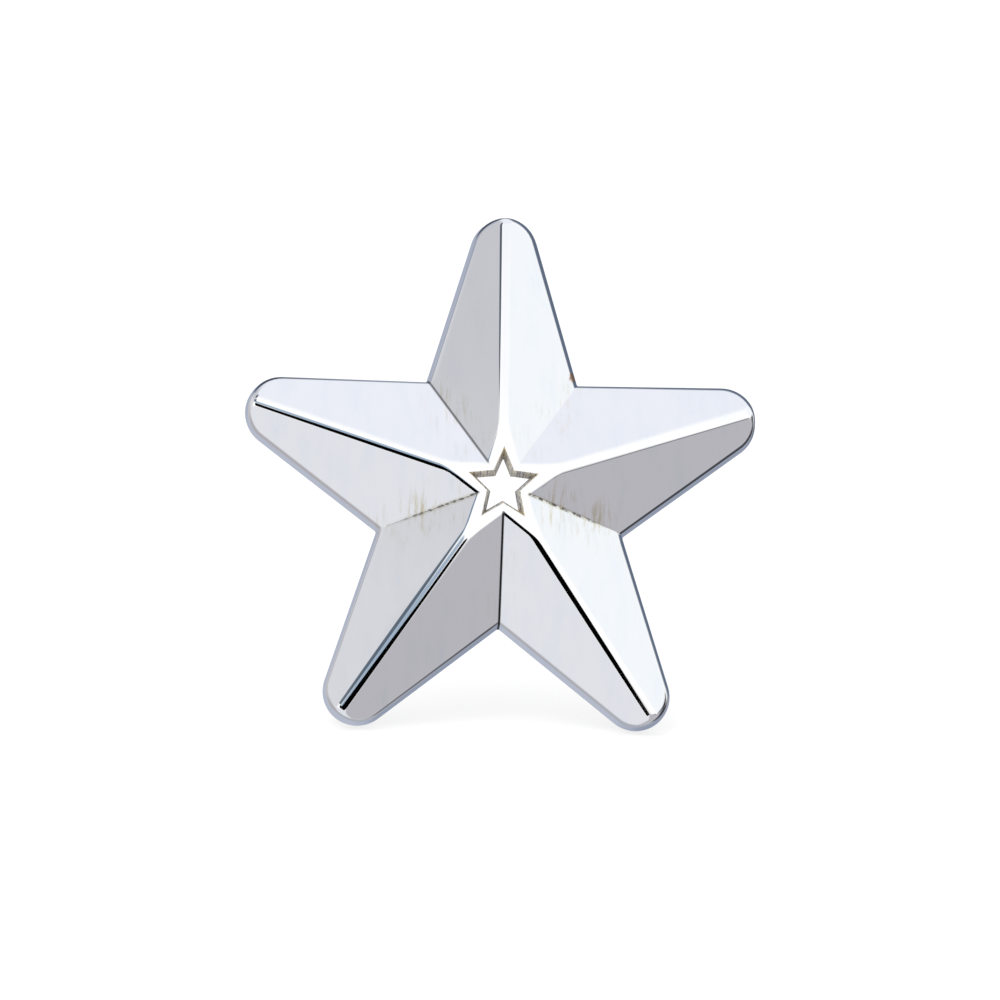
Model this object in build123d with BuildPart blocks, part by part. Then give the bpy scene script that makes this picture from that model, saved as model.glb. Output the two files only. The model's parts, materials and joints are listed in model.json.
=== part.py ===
"""Free-standing star award: a hollow chrome-plated star with a folding wire easel on its back.

The star leans back on the back edges of its two lower tips and on the two feet of the easel.
Row frame: millimetres, +Z up, the front faces -Y, z = 0 is the surface the award stands on.
"""
from build123d import *
from math import cos, radians, sin
import os

os.makedirs("parts", exist_ok=True)

# ---------------------------------------------------------------- driving dimensions
LEAN = 16.0                 # the star leans back from upright, degrees
LEG_ANGLE = 30.0            # the easel stands open from the back plate, degrees

# star outline, measured in the plane of its back rim
SHARP_RADIUS = 91.0         # centre to the corner that a tip would have unrounded
VALLEY_RATIO = 0.372        # valley radius over sharp radius
WIDTH_RATIO = 0.951         # the star is a little narrower than a regular one
TIP_RADII = (8.6, 9.0, 8.5, 8.5, 9.0)    # rounding of the five tips, from the top, anticlockwise

# star front
RIM_HEIGHT = 5.5            # side wall, up to the foot of the facets
DRAFT = 8.3                 # the side wall draws in by this angle
FACET_FOOT_RATIO = 0.970    # the facets' foot over the outline
FACET_RISE = 12.5           # from the rim to the virtual apex
PAD_SHARE = 0.8             # the apex is cut off flat at this share of the rise
RIDGE_RADIUS = 4.0
PAD_EDGE_RADIUS = 3.0
RIM_EDGE_RADIUS = 1.3
TIP_FRONT = 7.055           # the front of a rounded tip, over the back rim

# star-shaped window through the apex
WINDOW_RADIUS = 9.2
WINDOW_INNER_RATIO = 0.47
WINDOW_DEPTH = 4.4
WINDOW_TAPER = 11.0

# casting
SKIN = 2.8                  # wall thickness, measured square to the back plane on the facets
BOSS_RADIUS = 3.3
BOSS_DISTANCE = 45.0        # screw bosses from the star's centre
PLATE_LEDGE_INSET = 1.4     # the plate's pocket, in from the outline
POCKET_DEPTH = 1.6

# back plate
PLATE_GAP = 0.2
PLATE_THICKNESS = 1.2
PLATE_OPENING_RADIUS = 13.0
KEYHOLE_ENTRY_RADIUS = 4.5
KEYHOLE_SLOT_RADIUS = 2.2
KEYHOLE_HEIGHT = 26.0
KEYHOLE_TRAVEL = 8.0

# fasteners
SCREW_RADIUS = 1.45
SCREW_LENGTH = 7.0
SCREW_HEAD_RADIUS = 2.8
SCREW_HEAD_HEIGHT = 1.8
SCREW_CLEARANCE = 0.25
RIVET_RADIUS = 1.0
RIVET_HEAD_RADIUS = 1.7
RIVET_HEAD_HEIGHT = 0.7

# wall bumpers
BUMPER_RADIUS = 4.0
BUMPER_HEIGHT = 4.6
BUMPER_PLACES = ((51.5, 17.6), (13.0, -33.0))

# easel
WIRE_RADIUS = 1.25
WIRE_CLEARANCE = 0.05       # running clearance of the wire in its saddles
HINGE_HEIGHT = -20.0        # the hinge line, from the star's centre, up the star
STOP_PAD_THICKNESS = 0.5
STOP_PAD_GAP = 0.3
CRANK_HALF_WIDTH = 6.5
CRANK_LENGTH = 5.5
LEG_TOP_X = 24.0
LEG_FOOT_X = 38.0
LEG_BEND_RADIUS = 4.0
CRANK_BEND_RADIUS = 2.0
SADDLE_WIDTH = 6.0
SADDLE_X = 18.0
SADDLE_SHEET = 0.8
SADDLE_FLANGE = 6.2         # from the hinge line to the flange's edge
FOOT_RADIUS = 2.0
FOOT_LENGTH = 9.0

# ---------------------------------------------------------------- outline and star plane
ARMS = 5


def corner_on_plane(index, scale=1.0):
    """A corner of the sharp star: even numbers are tips, odd ones valleys, 0 is the top tip."""
    radius = scale * SHARP_RADIUS * (VALLEY_RATIO if index % 2 else 1.0)
    angle = radians(90 + 36 * index)
    return radius * cos(angle) * WIDTH_RATIO, radius * sin(angle)


def window_corner(index):
    """A corner of the window star, numbered like the outline's."""
    radius = WINDOW_RADIUS * (WINDOW_INNER_RATIO if index % 2 else 1.0)
    angle = radians(90 + 36 * index)
    return radius * cos(angle) * WIDTH_RATIO, radius * sin(angle)


def star_sketch(inset=0.0):
    """The star's rounded outline, drawn in by an inset."""
    with BuildSketch() as outline:
        Polygon(*[corner_on_plane(index) for index in range(2 * ARMS)], align=None)
        for arm_index, tip_radius in enumerate(TIP_RADII):
            tip_point = corner_on_plane(2 * arm_index)
            fillet(outline.vertices().sort_by_distance((*tip_point, 0))[0], tip_radius)
        if inset:
            offset(amount=-inset)
    return outline.sketch


outline_box = star_sketch().bounding_box()
stand_height = -outline_box.min.Y * cos(radians(LEAN))
back_reach = outline_box.max.Y * sin(radians(LEAN))
front_reach = outline_box.min.Y * sin(radians(LEAN)) - TIP_FRONT * cos(radians(LEAN))

# star plane: x to the side, y up the star, z out of its front; it lies on the back rim
star = Plane(
    origin=(0, -(back_reach + front_reach) / 2, stand_height),
    x_dir=(1, 0, 0),
    z_dir=(0, -cos(radians(LEAN)), sin(radians(LEAN))),
)

pad_height = RIM_HEIGHT + PAD_SHARE * FACET_RISE
plate_back = POCKET_DEPTH - PLATE_THICKNESS
screw_places = [
    (corner_on_plane(2 * i)[0] * BOSS_DISTANCE / SHARP_RADIUS,
     corner_on_plane(2 * i)[1] * BOSS_DISTANCE / SHARP_RADIUS)
    for i in range(ARMS)
]


def at(x, y, height):
    """A point given in the star plane's coordinates."""
    return star.from_local_coords(Vector(x, y, height))


def height_of(point):
    """How far a point stands in front of the star plane."""
    return star.to_local_coords(point).Z


def corner(index, scale=1.0, height=0.0):
    return at(*corner_on_plane(index, scale), height)


def plane_through(first, second, third):
    return Plane(origin=first, x_dir=second - first, z_dir=(second - first).cross(third - first))


def facet_plane(tip, valley, drop=0.0):
    """The plane of a front facet, or the same plane moved back by drop."""
    apex = at(0, 0, RIM_HEIGHT + FACET_RISE - drop)
    foot = RIM_HEIGHT - drop
    return plane_through(apex, corner(tip, FACET_FOOT_RATIO, foot), corner(valley, FACET_FOOT_RATIO, foot))


def kite_sketch(tip):
    """The plan of one arm, from the centre out past its tip, between its two valleys."""
    reach = 1.05
    with BuildSketch() as kite:
        Polygon((0, 0), *[corner_on_plane(i, reach) for i in (tip - 1, tip, tip + 1)], align=None)
    return kite.sketch


def wedge_sketch(tip):
    """The outline of one rounded tip, with its two edges carried on past their valleys."""
    tip_point = Vector(*corner_on_plane(tip))
    reach = 2.2
    ends = [tip_point + (Vector(*corner_on_plane(i)) - tip_point) * reach for i in (tip - 1, tip + 1)]
    with BuildSketch() as wedge:
        Polygon(ends[0], tip_point, ends[1], align=None)
        fillet(wedge.vertices().sort_by_distance(tip_point)[0], TIP_RADII[tip // 2])
    return wedge.sketch


def side_of(plane, point):
    return Keep.TOP if plane.to_local_coords(point).Z > 0 else Keep.BOTTOM


def roofed_arm(tip, top, drop=0.0):
    """One arm in plan, under its two facets, or under the facets moved back by drop."""
    inside = corner(tip, 0.3, 0.5)
    with BuildPart() as arm:
        with BuildSketch(star):
            add(kite_sketch(tip))
        extrude(amount=top)
        for valley in (tip - 1, tip + 1):
            cut = facet_plane(tip, valley, drop)
            split(bisect_by=cut, keep=side_of(cut, inside))
    return arm.part


def filleted_arm(tip):
    """One solid arm of the star, with its ridge, pad edges and rim edges rounded."""
    ridge_middle = (corner(tip, FACET_FOOT_RATIO, RIM_HEIGHT) + at(0, 0, RIM_HEIGHT + FACET_RISE)) * 0.5
    pad_centre = at(0, 0, pad_height)
    with BuildPart() as arm:
        add(roofed_arm(tip, pad_height))
        fillet(arm.edges().sort_by_distance(ridge_middle)[0], RIDGE_RADIUS)
        pad_edges = [
            edge for edge in arm.edges()
            if min(height_of(edge @ t) for t in (0, 0.5, 1)) > pad_height - 0.01
            and min((edge @ t - pad_centre).length for t in (0, 1)) > 0.5
        ]
        fillet(pad_edges, PAD_EDGE_RADIUS)
        with BuildSketch(star):
            add(wedge_sketch(tip))
        extrude(amount=pad_height + 1, taper=DRAFT, mode=Mode.INTERSECT)
        rim_edges = [
            edge for edge in arm.edges()
            if all(RIM_HEIGHT - 1 < height_of(edge @ t) < RIM_HEIGHT + 4 for t in (0, 0.25, 0.5, 0.75, 1))
        ]
        fillet(rim_edges, RIM_EDGE_RADIUS)
    return arm.part


# ---------------------------------------------------------------- star shell
with BuildPart() as cavity:
    for i in range(ARMS):
        add(roofed_arm(2 * i, pad_height - WINDOW_DEPTH, SKIN))
    with BuildSketch(star):
        add(star_sketch(inset=SKIN))
    extrude(amount=pad_height, mode=Mode.INTERSECT)
    with BuildSketch(star):
        with Locations(*screw_places):
            Circle(BOSS_RADIUS)
    extrude(amount=pad_height, mode=Mode.SUBTRACT)

with BuildPart() as star_shell:
    for i in range(ARMS):
        add(filleted_arm(2 * i))
    add(cavity.part, mode=Mode.SUBTRACT)
    with BuildSketch(star):
        add(star_sketch(inset=PLATE_LEDGE_INSET))
    extrude(amount=POCKET_DEPTH, mode=Mode.SUBTRACT)
    with BuildSketch(star.offset(plate_back)):
        with Locations(*screw_places):
            Circle(SCREW_RADIUS)
    extrude(amount=SCREW_LENGTH, mode=Mode.SUBTRACT)
    with BuildSketch(star.offset(pad_height)):
        Polygon(*[window_corner(index) for index in range(2 * ARMS)], align=None)
    extrude(amount=-WINDOW_DEPTH - 0.5, taper=WINDOW_TAPER, mode=Mode.SUBTRACT)
star_shell.part.label = "star_shell"
export_step(star_shell.part, "parts/star_shell.step")

# ---------------------------------------------------------------- back plate
with BuildPart() as back_plate:
    with BuildSketch(star.offset(plate_back)):
        add(star_sketch(inset=PLATE_LEDGE_INSET + PLATE_GAP))
        Circle(PLATE_OPENING_RADIUS, mode=Mode.SUBTRACT)
        with Locations(*screw_places):
            Circle(SCREW_RADIUS + SCREW_CLEARANCE, mode=Mode.SUBTRACT)
        with Locations((0, KEYHOLE_HEIGHT)):
            Circle(KEYHOLE_ENTRY_RADIUS, mode=Mode.SUBTRACT)
        with Locations((0, KEYHOLE_HEIGHT + KEYHOLE_TRAVEL)):
            Circle(KEYHOLE_SLOT_RADIUS, mode=Mode.SUBTRACT)
        with Locations((0, KEYHOLE_HEIGHT + KEYHOLE_TRAVEL / 2)):
            Rectangle(2 * KEYHOLE_SLOT_RADIUS, KEYHOLE_TRAVEL, mode=Mode.SUBTRACT)
        rivet_offset = (WIRE_RADIUS + WIRE_CLEARANCE + SADDLE_SHEET + SADDLE_FLANGE) / 2
        rivet_places = [
            (side * SADDLE_X, HINGE_HEIGHT + along * rivet_offset)
            for side in (-1, 1)
            for along in (-1, 1)
        ]
        with Locations(*rivet_places):
            Circle(RIVET_RADIUS, mode=Mode.SUBTRACT)
    extrude(amount=PLATE_THICKNESS)
back_plate.part.label = "back_plate"
export_step(back_plate.part, "parts/back_plate.step")

with BuildPart() as plate_screws:
    with BuildSketch(star.offset(plate_back)):
        with Locations(*screw_places):
            Circle(SCREW_RADIUS)
    extrude(amount=SCREW_LENGTH)
    with BuildSketch(star.offset(plate_back)):
        with Locations(*screw_places):
            Circle(SCREW_HEAD_RADIUS)
    extrude(amount=-SCREW_HEAD_HEIGHT)
    fillet(plate_screws.edges().group_by(Axis(star.origin, star.z_dir))[0], 0.9)
    with BuildSketch(star.offset(plate_back - SCREW_HEAD_HEIGHT)):
        with Locations(*screw_places):
            Rectangle(2.9, 0.6)
            Rectangle(0.6, 2.9)
    extrude(amount=1.0, mode=Mode.SUBTRACT)
plate_screws.part.label = "plate_screws"
export_step(plate_screws.part, "parts/plate_screws.step")

with BuildPart() as wall_bumpers:
    with BuildSketch(star.offset(plate_back)):
        with Locations(*[(side * x, y) for x, y in BUMPER_PLACES for side in (-1, 1)]):
            Circle(BUMPER_RADIUS)
    extrude(amount=-BUMPER_HEIGHT, taper=6)
    fillet(wall_bumpers.edges().group_by(Axis(star.origin, star.z_dir))[0], 0.8)
wall_bumpers.part.label = "wall_bumpers"
export_step(wall_bumpers.part, "parts/wall_bumpers.step")

# ---------------------------------------------------------------- easel
axis_drop = STOP_PAD_THICKNESS + STOP_PAD_GAP + WIRE_RADIUS     # hinge line behind the plate
hinge_depth = plate_back - axis_drop
leg_run = (
    HINGE_HEIGHT * cos(radians(LEAN)) + hinge_depth * sin(radians(LEAN)) + stand_height - FOOT_RADIUS
) / cos(radians(LEG_ANGLE - LEAN))
foot_height = HINGE_HEIGHT - leg_run * cos(radians(LEG_ANGLE))
foot_depth = hinge_depth - leg_run * sin(radians(LEG_ANGLE))

with BuildPart() as stop_pad:
    with BuildSketch(star.offset(plate_back)):
        with Locations((0, HINGE_HEIGHT + CRANK_LENGTH - 1)):
            RectangleRounded(2 * CRANK_HALF_WIDTH + 4, 4.2, 0.8)
    extrude(amount=-STOP_PAD_THICKNESS)
stop_pad.part.label = "stop_pad"
export_step(stop_pad.part, "parts/stop_pad.step")

for side, name in ((-1, "saddle_left"), (1, "saddle_right")):
    section = Plane(
        origin=at(side * SADDLE_X - SADDLE_WIDTH / 2, HINGE_HEIGHT, hinge_depth),
        x_dir=star.y_dir,
        z_dir=(1, 0, 0),
    )
    bore = WIRE_RADIUS + WIRE_CLEARANCE
    with BuildPart() as saddle:
        with BuildSketch(section):
            with Locations((0, axis_drop - SADDLE_SHEET / 2)):
                Rectangle(2 * SADDLE_FLANGE, SADDLE_SHEET)
            Circle(bore + SADDLE_SHEET)
            with Locations((0, axis_drop / 2)):
                Rectangle(2 * (bore + SADDLE_SHEET), axis_drop)
            Circle(bore, mode=Mode.SUBTRACT)
            with Locations((0, axis_drop / 2)):
                Rectangle(2 * bore, axis_drop, mode=Mode.SUBTRACT)
            with Locations((0, axis_drop + SADDLE_SHEET / 2)):
                Rectangle(2 * SADDLE_FLANGE, SADDLE_SHEET, mode=Mode.SUBTRACT)
        extrude(amount=SADDLE_WIDTH)
        with BuildSketch(star.offset(hinge_depth)):
            with Locations(*[place for place in rivet_places if place[0] * side > 0]):
                Circle(RIVET_RADIUS)
        extrude(amount=axis_drop, mode=Mode.SUBTRACT)
    saddle.part.label = name
    export_step(saddle.part, f"parts/{name}.step")

with BuildPart() as saddle_rivets:
    with BuildSketch(star.offset(plate_back - SADDLE_SHEET)):
        with Locations(*rivet_places):
            Circle(RIVET_RADIUS)
    extrude(amount=SADDLE_SHEET + PLATE_THICKNESS)
    with BuildSketch(star.offset(plate_back - SADDLE_SHEET)):
        with Locations(*rivet_places):
            Circle(RIVET_HEAD_RADIUS)
    extrude(amount=-RIVET_HEAD_HEIGHT)
    with BuildSketch(star.offset(POCKET_DEPTH)):
        with Locations(*rivet_places):
            Circle(RIVET_HEAD_RADIUS)
    extrude(amount=RIVET_HEAD_HEIGHT)
    fillet(saddle_rivets.edges().group_by(Axis(star.origin, star.z_dir))[0], 0.5)
    fillet(saddle_rivets.edges().group_by(Axis(star.origin, star.z_dir))[-1], 0.5)
saddle_rivets.part.label = "saddle_rivets"
export_step(saddle_rivets.part, "parts/saddle_rivets.step")

wire_points = [
    at(-LEG_FOOT_X, foot_height, foot_depth),
    at(-LEG_TOP_X, HINGE_HEIGHT, hinge_depth),
    at(-CRANK_HALF_WIDTH, HINGE_HEIGHT, hinge_depth),
    at(-CRANK_HALF_WIDTH, HINGE_HEIGHT + CRANK_LENGTH, hinge_depth),
    at(CRANK_HALF_WIDTH, HINGE_HEIGHT + CRANK_LENGTH, hinge_depth),
    at(CRANK_HALF_WIDTH, HINGE_HEIGHT, hinge_depth),
    at(LEG_TOP_X, HINGE_HEIGHT, hinge_depth),
    at(LEG_FOOT_X, foot_height, foot_depth),
]
wire_bends = [LEG_BEND_RADIUS, *[CRANK_BEND_RADIUS] * 4, LEG_BEND_RADIUS]
leg_direction = (wire_points[0] - wire_points[1]).normalized()
with BuildPart() as easel_wire:
    with BuildLine() as wire_path:
        FilletPolyline(*wire_points, radius=wire_bends)
    with BuildSketch(Plane(origin=wire_points[0], z_dir=-leg_direction)):
        Circle(WIRE_RADIUS)
    sweep(path=wire_path.wires()[0])
easel_wire.part.label = "easel_wire"
export_step(easel_wire.part, "parts/easel_wire.step")

for side, name in ((-1, "foot_sleeve_left"), (1, "foot_sleeve_right")):
    foot = at(side * LEG_FOOT_X, foot_height, foot_depth)
    knee = at(side * LEG_TOP_X, HINGE_HEIGHT, hinge_depth)
    with BuildPart() as sleeve:
        with BuildSketch(Plane(origin=foot, z_dir=knee - foot)):
            Circle(FOOT_RADIUS)
        extrude(amount=FOOT_LENGTH)
        fillet(sleeve.edges().filter_by(GeomType.CIRCLE).sort_by_distance(knee)[0], 0.4)
        with Locations(foot):
            Sphere(FOOT_RADIUS)
        with BuildSketch(Plane(origin=foot, z_dir=knee - foot)):
            Circle(WIRE_RADIUS)
        extrude(amount=FOOT_LENGTH, mode=Mode.SUBTRACT)
    sleeve.part.label = name
    export_step(sleeve.part, f"parts/{name}.step")
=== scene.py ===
# Studio picture of the star award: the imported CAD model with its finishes, a pale floor and soft light.
# Metres, in the CAD model's own frame: +Z up, the star's front faces -Y and leans back.
import json
import math

import bpy
import numpy as np
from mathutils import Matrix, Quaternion, Vector


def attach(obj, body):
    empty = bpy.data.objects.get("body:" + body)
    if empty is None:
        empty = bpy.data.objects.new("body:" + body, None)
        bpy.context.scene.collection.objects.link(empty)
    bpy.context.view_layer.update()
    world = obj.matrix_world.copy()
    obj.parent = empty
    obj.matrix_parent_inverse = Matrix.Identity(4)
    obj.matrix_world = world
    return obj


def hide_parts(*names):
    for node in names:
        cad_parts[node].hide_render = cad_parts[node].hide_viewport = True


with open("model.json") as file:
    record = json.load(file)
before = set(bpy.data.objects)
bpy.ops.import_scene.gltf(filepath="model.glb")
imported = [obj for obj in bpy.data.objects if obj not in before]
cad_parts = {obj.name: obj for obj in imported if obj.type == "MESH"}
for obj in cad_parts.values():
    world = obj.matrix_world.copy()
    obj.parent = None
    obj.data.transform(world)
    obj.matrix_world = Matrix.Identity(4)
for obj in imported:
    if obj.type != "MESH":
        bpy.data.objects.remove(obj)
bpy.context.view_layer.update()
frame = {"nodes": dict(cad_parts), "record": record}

# ---------------------------------------------------------------- the star's own plane
KEYHOLE_UP = 0.026          # keyhole's entry above the star's centre, along the star
KEYHOLE_DEPTH = 0.001       # middle of the back plate, in front of the back rim

mounts = {mount["name"]: mount for mount in frame["record"]["mounts"]}
star_normal = -Vector(mounts["keyhole"]["axis"]).normalized()
star_side = Vector((1, 0, 0))
star_up = star_normal.cross(star_side).normalized()
star_centre = (
    Vector(mounts["keyhole"]["pos_m"]) - star_up * KEYHOLE_UP - star_normal * KEYHOLE_DEPTH
)
STAR_AXES = np.array((star_side, star_up, star_normal))

# ---------------------------------------------------------------- camera
CAMERA_ELEVATION = 8.4      # degrees above the horizon
CAMERA_AZIMUTH = -3.2       # degrees, towards the viewer's left
CAMERA_DISTANCE = 0.691
CAMERA_ROLL = 1.85          # degrees: the star stands a little clockwise in the picture
AIM_RIGHT = 0.00005         # the point looked at, from the star's centre
AIM_UP = -0.00167
LENS = 100                  # millimetres
SENSOR_WIDTH = 36


def make_camera():
    azimuth = math.radians(CAMERA_AZIMUTH)
    elevation = math.radians(CAMERA_ELEVATION)
    back = Vector((
        math.sin(azimuth) * math.cos(elevation),
        -math.cos(azimuth) * math.cos(elevation),
        math.sin(elevation),
    ))
    rotation = (-back).to_track_quat("-Z", "Y")
    right = rotation @ Vector((1, 0, 0))
    up = rotation @ Vector((0, 1, 0))
    target = star_centre + right * AIM_RIGHT + up * AIM_UP
    data = bpy.data.cameras.new("camera")
    data.lens = LENS
    data.sensor_width = SENSOR_WIDTH
    data.clip_start = 0.05
    data.clip_end = 50
    camera = bpy.data.objects.new("camera", data)
    bpy.context.scene.collection.objects.link(camera)
    camera.rotation_mode = "QUATERNION"
    camera.rotation_quaternion = Quaternion(back, math.radians(CAMERA_ROLL)) @ rotation
    camera.location = target + back * CAMERA_DISTANCE
    bpy.context.scene.camera = camera


make_camera()
bpy.context.scene.view_settings.view_transform = "Standard"


# ---------------------------------------------------------------- node helpers
class Graph:
    """A short way to write shader nodes: every method returns an output socket."""

    def __init__(self, tree):
        self.tree = tree
        tree.nodes.clear()

    def node(self, kind, **settings):
        made = self.tree.nodes.new(kind)
        for name, value in settings.items():
            setattr(made, name, value)
        return made

    def put(self, socket, value):
        if isinstance(value, bpy.types.NodeSocket):
            self.tree.links.new(value, socket)
        elif value is not None:
            socket.default_value = value

    def math(self, operation, first, second=None):
        made = self.node("ShaderNodeMath", operation=operation)
        for socket, value in zip(made.inputs, (first, second)):
            self.put(socket, value)
        return made.outputs[0]

    def product(self, first, *others):
        for other in others:
            first = self.math("MULTIPLY", first, other)
        return first

    def vector(self, operation, first, second=None, output=0):
        made = self.node("ShaderNodeVectorMath", operation=operation)
        self.put(made.inputs[0], first)
        self.put(made.inputs[1], second)
        return made.outputs[output]

    def dot(self, first, second):
        return self.vector("DOT_PRODUCT", first, second, "Value")

    def ramp(self, value, low, high, start=0.0, end=1.0):
        """From start at low to end at high, with a soft beginning and end."""
        made = self.node("ShaderNodeMapRange", interpolation_type="SMOOTHSTEP")
        for socket, item in zip(made.inputs, (value, low, high, start, end)):
            self.put(socket, item)
        return made.outputs[0]

    def mix(self, factor, first, second):
        """The first colour where the factor is 0, the second where it is 1."""
        made = self.node("ShaderNodeMix", data_type="RGBA", clamp_factor=True)
        self.put(made.inputs[0], factor)
        self.put(made.inputs[6], first)
        self.put(made.inputs[7], second)
        return made.outputs[2]

    def noise(self, where, scale, detail=2.0, roughness=0.5):
        made = self.node("ShaderNodeTexNoise")
        self.put(made.inputs["Vector"], where)
        self.put(made.inputs["Scale"], scale)
        self.put(made.inputs["Detail"], detail)
        self.put(made.inputs["Roughness"], roughness)
        return made.outputs[0]

    def combine(self, x, y, z):
        made = self.node("ShaderNodeCombineXYZ")
        for socket, value in zip(made.inputs, (x, y, z)):
            self.put(socket, value)
        return made.outputs[0]

    def scaled(self, x, x_scale, y, y_scale):
        """A flat noise position with its own scale each way."""
        return self.combine(self.math("MULTIPLY", x, x_scale), self.math("MULTIPLY", y, y_scale), 0.0)

    def bump(self, height, distance, strength):
        made = self.node("ShaderNodeBump")
        self.put(made.inputs["Height"], height)
        self.put(made.inputs["Distance"], distance)
        self.put(made.inputs["Strength"], strength)
        return made.outputs[0]


def grey(value, tint=(1.0, 1.0, 1.0)):
    """A grey as linear light, or the same light tinted."""
    return (value * tint[0], value * tint[1], value * tint[2], 1.0)


def linear(red, green, blue):
    """A display colour, 0 to 255, as linear light."""
    shares = [value / 255 for value in (red, green, blue)]
    return tuple(s / 12.92 if s <= 0.04045 else ((s + 0.055) / 1.055) ** 2.4 for s in shares) + (1.0,)


# ---------------------------------------------------------------- studio
ROOM_LIGHT = 1.12           # plain light that falls on floor and matt surfaces
TENT_RADIUS = 0.5
TENT_SIDES = 96
TENT_BANDS = 48
FLOOR_HALF = 3.0
FLOOR_TONE = 0.28
FLOOR_GLOW = 0.72           # keeps the floor near white, with only a faint shadow
KEY_PLACE = (-0.5, -0.6, 1.2)   # from the star's centre
KEY_SIZE = 0.9
KEY_POWER = 6.0

# What the tent shows, as directions from the star: azimuth 0 is towards the viewer and grows to the
# viewer's right, elevation grows upwards, both in degrees. Later rows cover earlier ones.
# Round spots: centre, angle that is fully covered, angle where the spot ends, display colour.
DIM_ROOM = (
    ((180, 0), 38, 62, (170, 177, 195)),
    ((-100, -5), 24, 42, (192, 191, 195)),
    ((-116, 36), 14, 32, (160, 166, 180)),
    ((140, 20), 28, 46, (96, 108, 128)),
    ((-152, 38), 10, 24, (60, 68, 82)),
    ((64, -50), 14, 28, (104, 102, 104)),
    ((0, -38), 7, 13, (255, 255, 255)),
    ((100, -32), 16, 34, (62, 64, 72)),
    ((155, -28), 10, 24, (146, 155, 174)),
    ((80, -4), 13, 19, (26, 27, 32)),
    ((-150, -30), 16, 30, (182, 188, 203)),
    ((-105, -38), 14, 30, (176, 173, 177)),
)
WHITE = (255, 255, 255)
BLACK = (2, 2, 3)
# Oval panels: centre, half width and height, soft edge as a share of them, turn, display colour.
FRONT_PANELS = (
    # narrow dark edges: beside the upper grey wall, and above the right grey cloth
    ((-46, 51), (8, 12), 0.3, 0, (88, 95, 108)),
    ((41, -9.3), (9, 1.8), 0.4, 26, (128, 130, 136)),
    # grey-blue cloth above the dark opening, and the opening's white frame
    ((-42, 28), (6, 4), 0.7, 0, (128, 146, 168)),
    ((-43.5, 19.6), (9, 4.8), 0.6, -23, (93, 106, 121)),
    ((-17, -5.0), (24.6, 11.6), 0.05, -10, WHITE),
    ((-12, -13), (12.2, 10.2), 0.05, 0, WHITE),
    ((-22, 10.5), (10, 6), 0.6, -20, (160, 178, 198)),
    # the dark opening itself, in front and below the camera
    ((-37, 1), (6, 8), 0.10, 0, BLACK),
    ((-1, -1), (9, 6), 0.12, -35, BLACK),
    ((-17, -4.5), (22.5, 10), 0.12, -10, BLACK),
    ((-12, -13), (10.5, 8.4), 0.10, 0, BLACK),
)


def make_world():
    """Plain white light from all round."""
    world = bpy.data.worlds.new("studio")
    bpy.context.scene.world = world
    world.use_nodes = True
    g = Graph(world.node_tree)
    plain = g.node("ShaderNodeBackground")
    plain.inputs["Color"].default_value = grey(1.0)
    plain.inputs["Strength"].default_value = ROOM_LIGHT
    g.put(g.node("ShaderNodeOutputWorld").inputs[0], plain.outputs[0])


def place_mesh(name, places, faces):
    mesh = bpy.data.meshes.new(name)
    mesh.from_pydata(places, [], faces)
    placed = bpy.data.objects.new(name, mesh)
    bpy.context.scene.collection.objects.link(placed)
    return placed


def sphere():
    """The corners and faces of the tent, a sphere of quads with a cap of triangles at each pole."""
    sides, bands = TENT_SIDES, TENT_BANDS
    places = [(0.0, 0.0, TENT_RADIUS)]
    for band in range(1, bands):
        polar = math.pi * band / bands
        for side in range(sides):
            around = 2 * math.pi * side / sides
            places.append((
                TENT_RADIUS * math.sin(polar) * math.cos(around),
                TENT_RADIUS * math.sin(polar) * math.sin(around),
                TENT_RADIUS * math.cos(polar),
            ))
    places.append((0.0, 0.0, -TENT_RADIUS))
    last = len(places) - 1
    faces = []
    for side in range(sides):
        beside = (side + 1) % sides
        faces.append((0, 1 + side, 1 + beside))
        faces.append((last, last - sides + beside, last - sides + side))
        for band in range(bands - 2):
            first = 1 + band * sides
            faces.append((first + side, first + sides + side, first + sides + beside, first + beside))
    return places, faces


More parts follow.
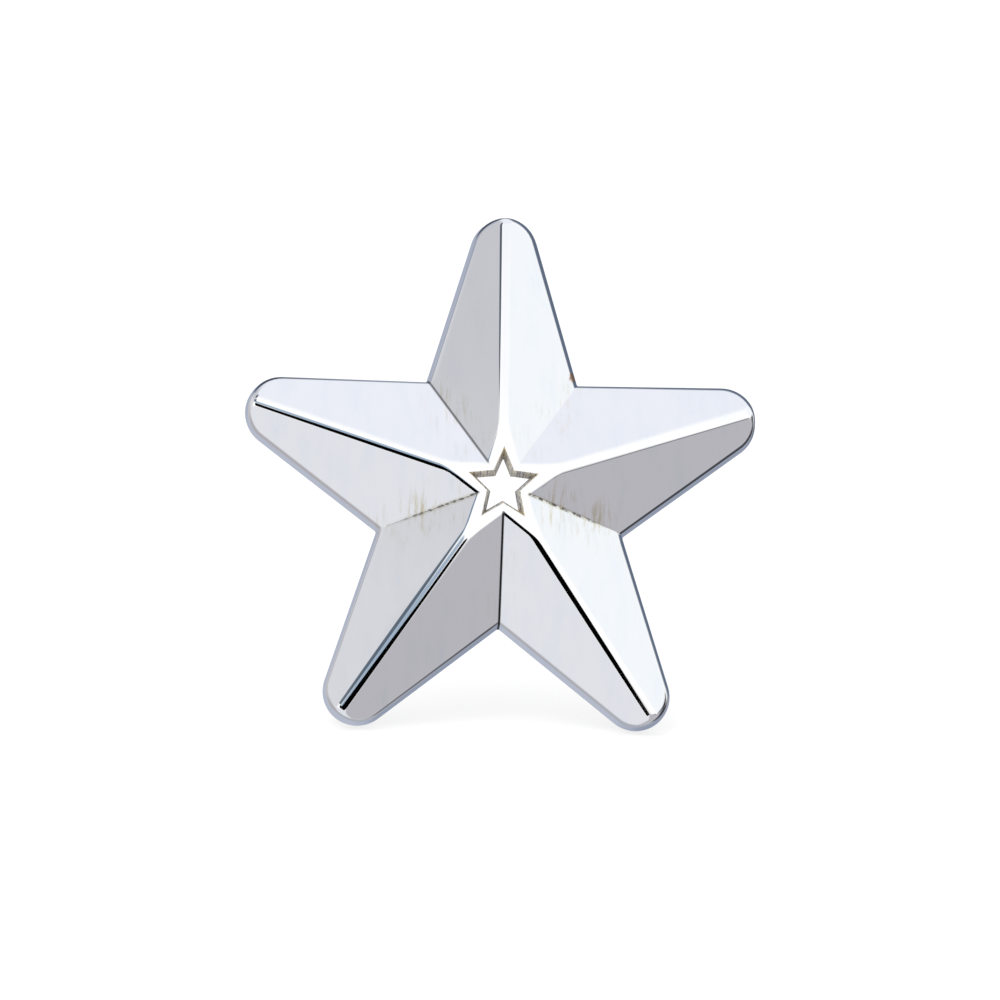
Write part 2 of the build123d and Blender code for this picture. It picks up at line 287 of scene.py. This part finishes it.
def make_tent():
    """The photographer's tent: white cloth, grey panels and a dark opening. Only reflections show it."""
    tent = place_mesh("tent", *sphere())
    tent.location = star_centre
    tent.visible_camera = False
    tent.visible_diffuse = False
    tent.visible_shadow = False
    tent.visible_transmission = False

    material = bpy.data.materials.new("tent")
    material.use_nodes = True
    g = Graph(material.node_tree)
    direction = g.vector("NORMALIZE", g.node("ShaderNodeTexCoord").outputs["Object"])
    split = g.node("ShaderNodeSeparateXYZ")
    g.put(split.inputs[0], direction)
    ahead = g.math("MULTIPLY", split.outputs[1], -1.0)
    azimuth = g.math("DEGREES", g.math("ARCTAN2", split.outputs[0], ahead))
    elevation = g.math("DEGREES", g.math("ARCSINE", split.outputs[2]))

    def panel(centre, half, soft, turn):
        """1 inside an ellipse of directions, falling to 0 over its soft edge."""
        across = g.math("SUBTRACT", azimuth, centre[0])
        along = g.math("SUBTRACT", elevation, centre[1])
        cosine, sine = math.cos(math.radians(turn)), math.sin(math.radians(turn))
        x = g.math("ADD", g.math("MULTIPLY", across, cosine), g.math("MULTIPLY", along, sine))
        y = g.math("SUBTRACT", g.math("MULTIPLY", along, cosine), g.math("MULTIPLY", across, sine))
        place = g.combine(g.math("DIVIDE", x, half[0]), g.math("DIVIDE", y, half[1]), 0.0)
        distance = g.vector("LENGTH", place, output="Value")
        return g.ramp(distance, 1.0 + soft, 1.0)

    def spot(centre, inner, outer):
        """1 within an angle of a direction, 0 beyond a wider one."""
        around, up = math.radians(centre[0]), math.radians(centre[1])
        axis = (math.sin(around) * math.cos(up), -math.cos(around) * math.cos(up), math.sin(up))
        return g.ramp(g.dot(direction, axis), math.cos(math.radians(outer)), math.cos(math.radians(inner)))

    def lay(colour, mask, tone):
        return g.mix(mask, colour, linear(*tone))

    colour = g.mix(g.ramp(elevation, 30.0, 68.0), grey(1.06), linear(238, 241, 250))
    # below and behind the star: the table, and the dim room with its paler and darker sides
    colour = lay(colour, g.ramp(elevation, -24.0, -44.0), (172, 175, 182))
    for centre, inner, outer, tone in DIM_ROOM:
        colour = lay(colour, spot(centre, inner, outer), tone)
    # right: white cloth with a breath of blue; upper left: a large grey wall, darker higher up
    colour = lay(colour, spot((66, 27), 16, 34), (247, 251, 255))
    wall = panel((-80, 30), (26, 34), 0.45, 0)
    colour = lay(colour, wall, (216, 217, 222))
    colour = lay(colour, g.math("MULTIPLY", wall, g.ramp(elevation, 24.0, 38.0)), (199, 200, 205))
    # low down in front: pale lavender on the left, mid grey on the right
    front = g.ramp(ahead, -0.1, 0.3)
    colour = lay(colour, g.math("MULTIPLY", front, g.ramp(elevation, -7.0, -12.0)), (226, 228, 234))
    right = g.math("MULTIPLY", g.ramp(elevation, 0.0, -12.0), g.ramp(azimuth, 0.0, 6.0))
    colour = lay(colour, g.math("MULTIPLY", front, right), (183, 182, 188))
    for centre, half, soft, turn, tone in FRONT_PANELS:
        colour = lay(colour, panel(centre, half, soft, turn), tone)

    glow = g.node("ShaderNodeEmission")
    g.put(glow.inputs["Color"], colour)
    g.put(g.node("ShaderNodeOutputMaterial").inputs[0], glow.outputs[0])
    tent.data.materials.append(material)


def make_floor():
    corners = [(x * FLOOR_HALF, y * FLOOR_HALF, 0) for x, y in ((-1, -1), (1, -1), (1, 1), (-1, 1))]
    floor = place_mesh("floor", corners, [(0, 1, 2, 3)])
    floor.visible_glossy = False
    material = bpy.data.materials.new("floor")
    material.use_nodes = True
    g = Graph(material.node_tree)
    shader = g.node("ShaderNodeBsdfPrincipled")
    shader.inputs["Base Color"].default_value = grey(FLOOR_TONE)
    shader.inputs["Emission Color"].default_value = grey(1.0)
    shader.inputs["Emission Strength"].default_value = FLOOR_GLOW
    shader.inputs["Roughness"].default_value = 0.9
    shader.inputs["Specular IOR Level"].default_value = 0.1
    g.put(g.node("ShaderNodeOutputMaterial").inputs[0], shader.outputs[0])
    floor.data.materials.append(material)


def make_key_light():
    data = bpy.data.lights.new("key", "AREA")
    data.shape = "DISK"
    data.size = KEY_SIZE
    data.energy = KEY_POWER
    light = bpy.data.objects.new("key", data)
    bpy.context.scene.collection.objects.link(light)
    light.location = star_centre + Vector(KEY_PLACE)
    light.rotation_mode = "QUATERNION"
    light.rotation_quaternion = (star_centre - light.location).to_track_quat("-Z", "Y")
    light.visible_glossy = False


make_world()
make_tent()
make_floor()
make_key_light()


# ---------------------------------------------------------------- finishes
# Each valley's direction in degrees, how stained its sides are, how dark the painted shade line along its
# crease is, and whether the line is broken. Lengths are metres.
VALLEY_STAINS_AND_SHADE = (
    (54, 0.45, 0.0, False),
    (126, 0.6, 0.7, False),
    (198, 1.0, 0.75, True),
    (270, 0.2, 1.0, False),
    (342, 1.0, 0.85, True),
)
VALLEY_START = (0.0062, 0.0072)     # out from the centre, where the valleys begin
STAIN_REACH = (0.0085, 0.0005)      # from a valley's line, where its stains end and are full
# from a valley's line, where its painted shade line ends and where it is full
CREASE_SHADE_REACH = (0.00046, 0.00014)
CRUST_REACH = (0.0009, 0.0001)
RUST_PLACE = (0.0176, 0.0288, 0.0)  # across and up the star
RUST_REACH = (0.0022, 0.0015)
RUST_HEIGHT = (0.0036, 0.0048)      # the rust stays on the rim's upper edge


def material_graph(name):
    material = bpy.data.materials.new(name)
    material.use_nodes = True
    g = Graph(material.node_tree)
    shader = g.node("ShaderNodeBsdfPrincipled")
    g.put(g.node("ShaderNodeOutputMaterial").inputs[0], shader.outputs[0])
    place = g.node("ShaderNodeTexCoord").outputs["Object"]
    return material, g, shader, place


def star_place(g, place):
    """Metres across and up the star's front, the two together, and metres out of the back rim's plane."""
    local = g.vector("SUBTRACT", place, tuple(star_centre))
    across = g.dot(local, tuple(star_side))
    along = g.dot(local, tuple(star_up))
    return across, along, g.combine(across, along, 0.0), g.dot(local, tuple(star_normal))


def chrome():
    """Polished chrome: a little orange peel, fine haze, a painted shade line along the valleys and stains
    beside them.
    """
    material, g, shader, place = material_graph("chrome_star")
    across, along, plane_place, height = star_place(g, place)
    even = g.math("DIVIDE", across, WIDTH_RATIO)
    out = g.vector("LENGTH", g.combine(even, along, 0.0), output="Value")
    streaks = g.ramp(g.noise(g.scaled(across, 900.0, along, 110.0), 1.0, 4.0, 0.7), 0.46, 0.66)
    patches = g.ramp(g.noise(plane_place, 110.0, 2.0), 0.38, 0.56)
    dashes = g.ramp(g.noise(plane_place, 620.0, 3.0, 0.7), 0.44, 0.58)
    band = g.product(g.ramp(out, 0.009, 0.014), g.ramp(out, 0.040, 0.024))
    stain, crease_shade, edging = 0.0, 0.0, 0.0
    for angle, stained, crease_shade_depth, broken in VALLEY_STAINS_AND_SHADE:
        cosine, sine = math.cos(math.radians(angle)), math.sin(math.radians(angle))
        ahead = g.math("ADD", g.product(even, cosine), g.product(along, sine))
        aside = g.math("ABSOLUTE", g.math("SUBTRACT", g.product(along, cosine), g.product(even, sine)))
        here = g.ramp(ahead, *VALLEY_START)
        stain = g.math("MAXIMUM", stain, g.product(g.ramp(aside, *STAIN_REACH), here, stained))
        # painted shade: a dark line down the middle of each valley's crease
        line = g.product(g.ramp(aside, *CREASE_SHADE_REACH), here, crease_shade_depth)
        if broken:
            line = g.product(line, dashes, g.ramp(out, 0.030, 0.020))
            crust = g.product(g.ramp(aside, *CRUST_REACH), g.ramp(out, 0.036, 0.014), here)
            edging = g.math("MAXIMUM", edging, crust)
        crease_shade = g.math("MAXIMUM", crease_shade, line)
    stain = g.product(stain, band, g.product(streaks, patches))
    rust_gap = g.vector("LENGTH", g.vector("SUBTRACT", plane_place, RUST_PLACE), output="Value")
    rust_gap = g.math("ADD", rust_gap, g.product(g.noise(plane_place, 1500.0, 3.0), 0.0012))
    rust = g.product(g.ramp(rust_gap, *RUST_REACH), g.ramp(height, *RUST_HEIGHT))
    drift = g.ramp(g.noise(g.scaled(across, 190.0, along, 60.0), 1.0, 4.0, 0.6), 0.44, 0.74)
    base = g.mix(drift, grey(0.975), (0.925, 0.945, 0.965, 1.0))
    colour = g.mix(g.math("MULTIPLY", edging, 0.55), base, (0.74, 0.68, 0.52, 1.0))
    colour = g.mix(g.math("MULTIPLY", stain, 0.7), colour, (0.64, 0.54, 0.30, 1.0))
    # painted shade: the valley creases darkened to near black
    colour = g.mix(crease_shade, colour, (0.020, 0.018, 0.018, 1.0))
    colour = g.mix(g.math("MULTIPLY", rust, 0.85), colour, (0.42, 0.20, 0.06, 1.0))
    g.put(shader.inputs["Base Color"], colour)
    shader.inputs["Metallic"].default_value = 1.0
    haze = g.noise(plane_place, 240.0, 4.0, 0.65)
    rough = g.math("ADD", g.ramp(haze, 0.35, 0.75, 0.03, 0.07), g.math("MULTIPLY", stain, 0.10))
    rough = g.math("ADD", rough, g.math("MULTIPLY", g.math("MAXIMUM", crease_shade, rust), 0.4))
    g.put(shader.inputs["Roughness"], rough)
    peel = g.noise(place, 420.0, 2.0, 0.5)
    g.put(shader.inputs["Normal"], g.bump(peel, 0.00001, 0.15))
    return material


def tarnished_chrome():
    """The window's walls: thin plating gone golden brown, with fine upright streaks."""
    material, g, shader, place = material_graph("chrome_window")
    across, along = star_place(g, place)[:2]
    streaks = g.noise(g.scaled(across, 2600.0, along, 500.0), 1.0, 4.0, 0.7)
    blotches = g.ramp(g.noise(place, 520.0, 3.0, 0.6), 0.38, 0.66)
    colour = g.mix(blotches, (0.80, 0.71, 0.53, 1.0), (0.56, 0.56, 0.57, 1.0))
    g.put(shader.inputs["Base Color"], g.mix(g.ramp(streaks, 0.50, 0.64), colour, (0.20, 0.19, 0.18, 1.0)))
    shader.inputs["Metallic"].default_value = 0.35
    g.put(shader.inputs["Roughness"], g.ramp(blotches, 0.0, 1.0, 0.30, 0.45))
    g.put(shader.inputs["Normal"], g.bump(streaks, 0.00004, 0.5))
    return material


def casting_inside():
    """The hollow's bare side: dull grey flash plating over a grainy cast skin."""
    material, g, shader, place = material_graph("chrome_inside")
    grain = g.noise(place, 900.0, 4.0, 0.65)
    patches = g.ramp(g.noise(place, 120.0, 3.0, 0.6), 0.35, 0.7)
    g.put(shader.inputs["Base Color"], g.mix(patches, grey(0.42), grey(0.27, (1.0, 0.98, 0.94))))
    shader.inputs["Metallic"].default_value = 0.9
    g.put(shader.inputs["Roughness"], g.ramp(grain, 0.3, 0.75, 0.42, 0.62))
    g.put(shader.inputs["Normal"], g.bump(grain, 0.00006, 0.6))
    return material


def plated_steel(name, tone, roughness, scale=900.0):
    """Nickel or zinc plated steel with fine drawn lines and dull patches."""
    material, g, shader, place = material_graph(name)
    patches = g.noise(place, 260.0, 3.0, 0.6)
    lines = g.noise(g.vector("MULTIPLY", place, (1.0, 0.25, 1.0)), scale, 3.0, 0.7)
    bright = grey(tone, (1.0, 0.99, 0.96))
    dull = grey(tone * 0.78, (0.98, 0.98, 1.0))
    g.put(shader.inputs["Base Color"], g.mix(g.ramp(patches, 0.35, 0.7), bright, dull))
    shader.inputs["Metallic"].default_value = 1.0
    g.put(shader.inputs["Roughness"], g.ramp(patches, 0.3, 0.75, roughness * 0.8, roughness * 1.4))
    g.put(shader.inputs["Normal"], g.bump(lines, 0.00002, 0.35))
    return material


def powder_coat():
    """Black powder-coated sheet: a fine grain, grey scuffs and a little dust."""
    material, g, shader, place = material_graph("plate_black")
    grain = g.noise(place, 1600.0, 2.0, 0.6)
    dust = g.ramp(g.noise(place, 90.0, 5.0, 0.7), 0.52, 0.80)
    scuffs = g.ramp(g.noise(g.vector("MULTIPLY", place, (1.0, 1.0, 6.0)), 160.0, 6.0, 0.75), 0.66, 0.80)
    colour = g.mix(g.math("MULTIPLY", dust, 0.35), grey(0.018), grey(0.09, (1.0, 0.98, 0.95)))
    colour = g.mix(g.math("MULTIPLY", scuffs, 0.5), colour, grey(0.16))
    g.put(shader.inputs["Base Color"], colour)
    g.put(shader.inputs["Roughness"], g.ramp(grain, 0.3, 0.7, 0.42, 0.62))
    g.put(shader.inputs["Normal"], g.bump(grain, 0.00004, 0.6))
    return material


def rubber(name, tone, roughness, dusty):
    """Moulded rubber or dipped vinyl with a fine skin and some dust."""
    material, g, shader, place = material_graph(name)
    skin = g.noise(place, 1400.0, 3.0, 0.6)
    dust = g.ramp(g.noise(place, 350.0, 4.0, 0.7), 0.45, 0.78)
    colour = g.mix(g.math("MULTIPLY", dust, dusty), grey(tone), grey(tone + 0.12, (1.0, 0.97, 0.93)))
    g.put(shader.inputs["Base Color"], colour)
    g.put(shader.inputs["Roughness"], g.ramp(skin, 0.3, 0.7, roughness * 0.85, min(1.0, roughness * 1.2)))
    g.put(shader.inputs["Normal"], g.bump(skin, 0.00003, 0.5))
    return material


# ---------------------------------------------------------------- the star's surface
# Millimetres in the star's own plane: x to the side, y up the star, z out of its front.
SHARP_RADIUS = 91.0
VALLEY_RATIO = 0.372
WIDTH_RATIO = 0.951
TIP_RADII = (8.6, 9.0, 8.5, 8.5, 9.0)   # top, upper left, lower left, lower right, upper right
RIM_HEIGHT = 5.5
DRAFT = math.radians(8.3)
FOOT_RATIO = 0.970
FACET_RISE = 12.5
PAD_HEIGHT = 15.5
WINDOW_RADIUS = 9.2
WINDOW_INNER_RATIO = 0.47
WINDOW_DEPTH = 4.4
WINDOW_TAPER = math.radians(11)
SKIN = 2.8
LEDGE_INSET = 1.4
POCKET_DEPTH = 1.6
BOSS_RADIUS = 3.3
BOSS_DISTANCE = 45.0
BOSS_SIDES = 28
BOSS_OVERLAP = 0.2          # a boss's end inside the casting's skin

RIDGE_HALF_WIDTH = 1.75     # the rounding of a ridge, to each side of it
VALLEY_HALF_WIDTH = 0.08
PAD_BLEND = 0.34            # height over which facets and pad run into each other
RIM_ROUNDING = 1.3
NOTCH_ROUNDING = 0.5        # the outline's rounding in the corners between the arms
RIM_INSET = 3.0             # where the rim's own stations begin
WINDOW_BEVEL = 0.14

# Stations: beside a ridge and a valley, across a facet, from the window to the rim, round the rim's edge
# in degrees from the wall's foot, and across the cavity's ceiling.
RIDGE_OFFSETS = (
    0.0, 0.25, 0.5, 0.75, 1.0, 1.25, 1.5, 1.8, 2.6, 3.5, 4.3, 5.1, 5.8, 6.5, 7.1, 7.6, 8.0, 8.4,
)
VALLEY_OFFSETS = (0.34, 0.16, 0.08, 0.0)
FACET_LINES = 5
ROOF_STATIONS = 40
ROOF_CROWDING = 2.0         # stations lie closer together towards the window
RIM_TURNS = (84, 79, 76.5, 75, 73.5, 72, 70.5, 69, 67.5, 66, 64.5, 62.5, 59, 53, 45, 35, 24, 12, 0)
CEILING_STATIONS = 12
RIDGE_SHARE = 0.45          # most of a half arm's angle that the stations beside a ridge may take
VALLEY_SHARE = 0.15
HALVINGS = 40
WINDOW_SEARCH = (0.5, 12.0)
RIM_SEARCH = (5.0, 95.0)


def corner_at(index, radius):
    """A corner of a five-pointed star: even ones are tips, from the top and against the clock."""
    angle = math.radians(90 + 36 * index)
    return np.array((radius * math.cos(angle) * WIDTH_RATIO, radius * math.sin(angle)))


def star_corner(index, scale=1.0):
    return corner_at(index, scale * SHARP_RADIUS * (VALLEY_RATIO if index % 2 else 1.0))


def window_corner(index):
    return corner_at(index, WINDOW_RADIUS * (WINDOW_INNER_RATIO if index % 2 else 1.0))


def slope_of(tip, valley):
    """How a facet falls along x and y, from the apex over the centre."""
    corners = np.array((star_corner(tip, FOOT_RATIO), star_corner(valley, FOOT_RATIO)))
    return np.linalg.solve(corners, (-FACET_RISE, -FACET_RISE))


def edge_of(first, second):
    """Unit normal towards the centre and offset of the straight edge through two corners."""
    along = second - first
    normal = np.array((-along[1], along[0])) / np.linalg.norm(along)
    if normal @ first > 0:
        normal = -normal
    return normal[0], normal[1], -(normal @ first)


def smooth_min(first, second, reach):
    """The lesser of two heights, blended where they are within a reach of each other."""
    gap = np.maximum(reach - np.abs(first - second), 0.0)
    return np.minimum(first, second) - gap * gap / (4 * reach)


def smooth_max(first, second, reach):
    return -smooth_min(-first, -second, reach)


class Lines:
    """The lines that run from the window out to the rim, close together along ridges and valleys."""

    def __init__(self):
        rows = []
        near_ridge = len(RIDGE_OFFSETS) - 1
        near_valley = len(VALLEY_OFFSETS)
        steps = near_ridge + FACET_LINES + near_valley
        for sector in range(10):
            ridge_first = sector % 2 == 0
            ridge, valley = (sector, sector + 1) if ridge_first else (sector + 1, sector)
            for step in range(steps):
                rows.append((ridge, valley, step if ridge_first else steps - step))
        self.count = len(rows)
        columns = {key: [] for key in (
            "start", "turn", "ridge_offset", "ridge_cap", "share", "valley_offset", "valley_cap", "kind",
            "own", "other", "next", "edge", "far_edge", "next_edge", "window", "tip_x", "tip_y", "tip_r",
            "run", "far_run",
        )}
        for ridge, valley, step in rows:
            far = 2 * ridge - valley
            beyond = 2 * valley - ridge
            tip, low, high = star_corner(ridge), star_corner(valley), star_corner(far)
            start = math.atan2(tip[1], tip[0])
            turn = (math.atan2(low[1], low[0]) - start + math.pi) % (2 * math.pi) - math.pi
            radius = TIP_RADII[(ridge % 10) // 2]
            edge, far_edge = edge_of(tip, low), edge_of(tip, high)
            middle = np.linalg.solve(
                np.array((edge[:2], far_edge[:2])), (radius - edge[2], radius - far_edge[2])
            )
            columns["start"].append(start)
            columns["turn"].append(turn)
            columns["kind"].append(0 if step <= near_ridge else 2 if step > steps - near_valley else 1)
            columns["ridge_offset"].append(RIDGE_OFFSETS[min(step, near_ridge)])
            columns["ridge_cap"].append(RIDGE_SHARE * min(step, near_ridge) / near_ridge)
            columns["share"].append((step - near_ridge) / (FACET_LINES + 1))
            back = max(step - (steps - near_valley + 1), 0)
            columns["valley_offset"].append(VALLEY_OFFSETS[back])
            columns["valley_cap"].append(VALLEY_SHARE * VALLEY_OFFSETS[back] / VALLEY_OFFSETS[0])
            columns["own"].append(slope_of(ridge, valley))
            columns["other"].append(slope_of(ridge, far))
            columns["next"].append(slope_of(beyond, valley))
            columns["edge"].append(edge)
            columns["far_edge"].append(far_edge)
            columns["next_edge"].append(edge_of(star_corner(beyond), low))
            columns["window"].append(edge_of(window_corner(ridge), window_corner(valley)))
            columns["tip_x"].append(middle[0])
            columns["tip_y"].append(middle[1])
            columns["tip_r"].append(radius)
            columns["run"].append((tip - low) / np.linalg.norm(tip - low))
            columns["far_run"].append((tip - high) / np.linalg.norm(tip - high))
        for key, values in columns.items():
            setattr(self, key, np.array(values, dtype=float))

    def point(self, radius):
        """The plan position of each line at a radius."""
        full = np.abs(self.turn)
        from_ridge = np.minimum(self.ridge_offset / radius, self.ridge_cap * full)
        from_valley = np.minimum(self.valley_offset / radius, self.valley_cap * full)
        wide_ridge = np.minimum(RIDGE_OFFSETS[-1] / radius, RIDGE_SHARE * full)
        wide_valley = np.minimum(VALLEY_OFFSETS[0] / radius, VALLEY_SHARE * full)
        between = wide_ridge + (full - wide_valley - wide_ridge) * self.share
        angle = np.where(self.kind == 0, from_ridge, np.where(self.kind == 2, full - from_valley, between))
        angle = self.start + np.sign(self.turn) * angle
        return radius * np.cos(angle), radius * np.sin(angle)

    def inset(self, x, y):
        """How far inside the star's rounded outline a plan position is."""
        def depth(edge):
            return edge[:, 0] * x + edge[:, 1] * y + edge[:, 2]

        own = np.minimum(depth(self.edge), depth(self.far_edge))
        dx, dy = x - self.tip_x, y - self.tip_y
        past = (dx * self.run[:, 0] + dy * self.run[:, 1] > 0) & (
            dx * self.far_run[:, 0] + dy * self.far_run[:, 1] > 0
        )
        own = np.where(past, self.tip_r - np.hypot(dx, dy), own)
        return smooth_max(own, depth(self.next_edge), NOTCH_ROUNDING)

    def window_gap(self, x, y):
        """How far outside the window's edge a plan position is."""
        return -(self.window[:, 0] * x + self.window[:, 1] * y + self.window[:, 2])

    def facet(self, slope, x, y):
        return RIM_HEIGHT + FACET_RISE + slope[:, 0] * x + slope[:, 1] * y

    def sharp_roof(self, x, y):
        """Height of an arm's two facets, with a sharp ridge and no pad."""
        return np.minimum(self.facet(self.own, x, y), self.facet(self.other, x, y))

    def roof(self, x, y):
        """Height of facets and pad with ridges, valleys and pad edges rounded."""
        ridge = np.linalg.norm(self.own - self.other, axis=1) * RIDGE_HALF_WIDTH
        valley = np.linalg.norm(self.own - self.next, axis=1) * VALLEY_HALF_WIDTH
        arm = smooth_min(self.facet(self.own, x, y), self.facet(self.other, x, y), ridge)
        height = smooth_max(arm, self.facet(self.next, x, y), valley)
        return smooth_min(height, PAD_HEIGHT, PAD_BLEND)

    def outside(self, x, y, z):
        """Below 0 inside the star's outer surface, 0 on it."""
        above = (z - self.roof(x, y)) * 0.9 + RIM_ROUNDING
        beside = (z * math.tan(DRAFT) - self.inset(x, y)) * math.cos(DRAFT) + RIM_ROUNDING
        corner = np.hypot(np.maximum(above, 0), np.maximum(beside, 0))
        return np.minimum(np.maximum(above, beside), 0) + corner - RIM_ROUNDING

    def radius_where(self, measure, low, high):
        """The radius at which a measure that falls outwards reaches 0."""
        low = np.full(self.count, low)
        high = np.full(self.count, high)
        for _ in range(HALVINGS):
            middle = (low + high) / 2
            positive = measure(*self.point(middle)) > 0
            low = np.where(positive, middle, low)
            high = np.where(positive, high, middle)
        return (low + high) / 2


def ring(lines, radius, height):
    """One point on each line, at its radius and height."""
    x, y = lines.point(radius)
    return np.stack((x, y, np.broadcast_to(height, x.shape)), axis=1)


def star_rings(lines):
    """Closed rings round the star: from the window's edge over the front, the rim and back inside."""
    def beyond_window(margin):
        return lines.radius_where(lambda x, y: margin - lines.window_gap(x, y), *WINDOW_SEARCH)

    def inside_outline(margin):
        return lines.radius_where(lambda x, y: lines.inset(x, y) - margin, *RIM_SEARCH)

    window = beyond_window(0.0)
    bevel = beyond_window(WINDOW_BEVEL)
    rings = [ring(lines, window, PAD_HEIGHT - WINDOW_BEVEL)]
    inner = inside_outline(RIM_INSET)
    edge = inside_outline(0.0)
    for k in range(ROOF_STATIONS + 1):
        share = math.expm1(ROOF_CROWDING * k / ROOF_STATIONS) / math.expm1(ROOF_CROWDING)
        radius = bevel + (inner - bevel) * share
        x, y = lines.point(radius)
        rings.append(np.stack((x, y, lines.roof(x, y)), axis=1))
    stretch = (edge - inner) / RIM_INSET
    for degrees in RIM_TURNS:
        turn = math.radians(degrees)
        low = np.zeros(lines.count)
        high = np.full(lines.count, 14.0)
        for _ in range(HALVINGS):
            reach = (low + high) / 2
            radius = inner + stretch * reach * math.cos(turn)
            x, y = lines.point(radius)
            within = lines.outside(x, y, reach * math.sin(turn)) < 0
            low = np.where(within, reach, low)
            high = np.where(within, high, reach)
        radius = inner + stretch * low * math.cos(turn)
        rings.append(ring(lines, radius, low * math.sin(turn)))
    last_front = len(rings) - 1
    ledge = inside_outline(LEDGE_INSET)
    cavity = inside_outline(SKIN)
    rings.append(ring(lines, ledge, 0.0))
    rings.append(ring(lines, ledge, POCKET_DEPTH))
    rings.append(ring(lines, cavity, POCKET_DEPTH))
    back = beyond_window(-WINDOW_DEPTH * math.tan(WINDOW_TAPER))
    for k in range(CEILING_STATIONS + 1):
        radius = cavity + (back - cavity) * (k / CEILING_STATIONS) ** 0.8
        x, y = lines.point(radius)
        ceiling = np.minimum(lines.sharp_roof(x, y) - SKIN, PAD_HEIGHT - WINDOW_DEPTH)
        rings.append(np.stack((x, y, ceiling), axis=1))
    return rings, last_front


def front_normals(lines, points):
    """The outer surface's own normals, from how fast its distance changes each way."""
    step = 0.02
    x, y, z = points.T
    slopes = np.stack((
        lines.outside(x + step, y, z) - lines.outside(x - step, y, z),
        lines.outside(x, y + step, z) - lines.outside(x, y - step, z),
        lines.outside(x, y, z + step) - lines.outside(x, y, z - step),
    ), axis=1)
    return slopes / np.linalg.norm(slopes, axis=1, keepdims=True)


def to_world(points):
    """Millimetres in the star's own plane as metres in the model's frame."""
    return np.array(star_centre) + (points @ STAR_AXES) * 0.001


def boss(arm):
    """A screw boss in the hollow: the corners of its two ends, in the star's own plane."""
    x, y = star_corner(2 * arm) * BOSS_DISTANCE / SHARP_RADIUS
    roof = RIM_HEIGHT + FACET_RISE * (1 - BOSS_DISTANCE / SHARP_RADIUS / FOOT_RATIO)
    places = []
    for height in (POCKET_DEPTH, roof - SKIN + BOSS_OVERLAP):
        for i in range(BOSS_SIDES):
            angle = 2 * math.pi * i / BOSS_SIDES
            places.append((x + BOSS_RADIUS * math.cos(angle), y + BOSS_RADIUS * math.sin(angle), height))
    return places


def make_star(front_finish, window_finish, inside_finish):
    """The visible casting: one closed skin of rings, with the five bosses in its hollow."""
    lines = Lines()
    rings, last_front = star_rings(lines)
    count = lines.count
    vertices = [to_world(points) for points in rings]
    normals = [front_normals(lines, points) @ STAR_AXES for points in rings[:last_front + 1]]
    faces, finishes_of, smooth = [], [], []
    for k in range(len(rings)):
        following = (k + 1) % len(rings)
        front = 1 <= k < last_front
        finish = 1 if k == 0 or following == 0 else 0 if k < last_front + 3 else 2
        for i in range(count):
            j = (i + 1) % count
            faces.append((k * count + i, following * count + i, following * count + j, k * count + j))
            finishes_of.append(finish)
            smooth.append(front)
    places = np.concatenate(vertices)
    extra = []
    for arm in range(5):
        first = len(places) + len(extra)
        extra.extend(boss(arm))
        for i in range(BOSS_SIDES):
            j = (i + 1) % BOSS_SIDES
            faces.append((first + i, first + j, first + BOSS_SIDES + j, first + BOSS_SIDES + i))
        faces.append(tuple(first + i for i in reversed(range(BOSS_SIDES))))
        faces.append(tuple(first + BOSS_SIDES + i for i in range(BOSS_SIDES)))
        finishes_of.extend([2] * (BOSS_SIDES + 2))
        smooth.extend([False] * (BOSS_SIDES + 2))
    places = np.concatenate((places, to_world(np.array(extra))))
    star = place_mesh("star_casting", [tuple(place) for place in places], faces)
    mesh = star.data
    for finish in (front_finish, window_finish, inside_finish):
        mesh.materials.append(finish)
    mesh.polygons.foreach_set("material_index", finishes_of)
    mesh.polygons.foreach_set("use_smooth", [True] * len(faces))
    mesh.update()
    corner_normals = []
    for polygon, soft in zip(mesh.polygons, smooth):
        for vertex in polygon.vertices:
            if soft:
                corner_normals.append(tuple(normals[vertex // count][vertex % count]))
            else:
                corner_normals.append(tuple(polygon.normal))
    mesh.normals_split_custom_set(corner_normals)
    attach(star, "star")
    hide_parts("star_shell")


# ---------------------------------------------------------------- finishing the pieces
finishes = {
    "back_plate": powder_coat(),
    "plate_screws": plated_steel("screw_steel", 0.66, 0.30),
    "wall_bumpers": rubber("bumper_rubber", 0.022, 0.75, 0.45),
    "stop_pad": rubber("pad_rubber", 0.03, 0.85, 0.6),
    "saddle_left": plated_steel("saddle_steel", 0.62, 0.34),
    "saddle_rivets": plated_steel("rivet_steel", 0.70, 0.26),
    "easel_wire": plated_steel("wire_steel", 0.68, 0.22, 1400.0),
    "foot_sleeve_left": rubber("sleeve_vinyl", 0.018, 0.42, 0.3),
}
make_star(chrome(), tarnished_chrome(), casting_inside())
finishes["saddle_right"] = finishes["saddle_left"]
finishes["foot_sleeve_right"] = finishes["foot_sleeve_left"]
for name, finish in finishes.items():
    for slot in frame["nodes"][name].material_slots:
        slot.material = finish
